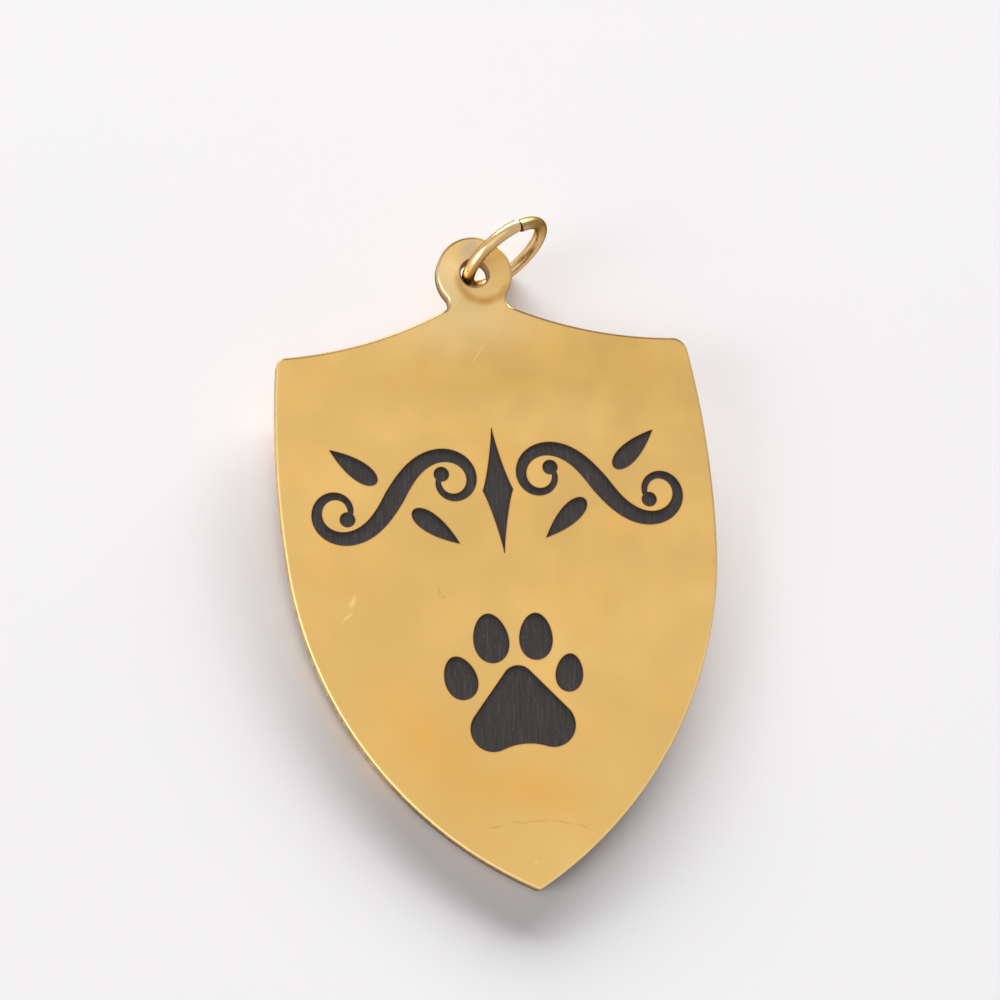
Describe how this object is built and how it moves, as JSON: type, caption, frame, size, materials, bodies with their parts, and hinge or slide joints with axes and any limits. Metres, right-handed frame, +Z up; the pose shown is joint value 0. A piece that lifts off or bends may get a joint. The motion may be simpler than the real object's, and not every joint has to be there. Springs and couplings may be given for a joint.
{
  "type": "pet id tag",
  "caption": "Shield-shaped brass pet tag with a round eyelet and a split wire jump ring, engraved with a black-filled paw print and scroll ornament.",
  "frame": {"origin": "on the table, under the middle of the whole tag's box as it lies", "axes": "+Z up from the table and nearly out of the engraved face, +Y along the tag towards the eyelet, +X to the right of someone who looks at the engraved face with the eyelet up"},
  "size_m": [0.034, 0.0524, 0.0079],
  "materials": {
    "plate_metal": "polished, pale gold colour, with faint brushing",
    "ring_wire": "bright polished wire, a paler gold than the plate",
    "black_filling": "charcoal enamel, satin, with fine upright streaks"
  },
  "bodies": {
    "tag": {"tag_plate": "plate_metal", "pad_filling": "black_filling", "outer_left_toe_filling": "black_filling", "inner_left_toe_filling": "black_filling", "inner_right_toe_filling": "black_filling", "outer_right_toe_filling": "black_filling", "star_filling": "black_filling", "left_scroll_filling": "black_filling", "right_scroll_filling": "black_filling", "upper_left_leaf_filling": "black_filling", "lower_left_leaf_filling": "black_filling", "upper_right_leaf_filling": "black_filling", "lower_right_leaf_filling": "black_filling"},
    "ring": {"jump_ring": "ring_wire"}
  },
  "joints": [
    {"name": "ring_swing", "type": "hinge", "parent": "tag", "child": "ring", "pos_m": [-0.00002, 0.02228, 0.00373], "axis": [-0.0412, -0.0611, 0.9973], "range_deg": [-56, 174]}
  ]
}
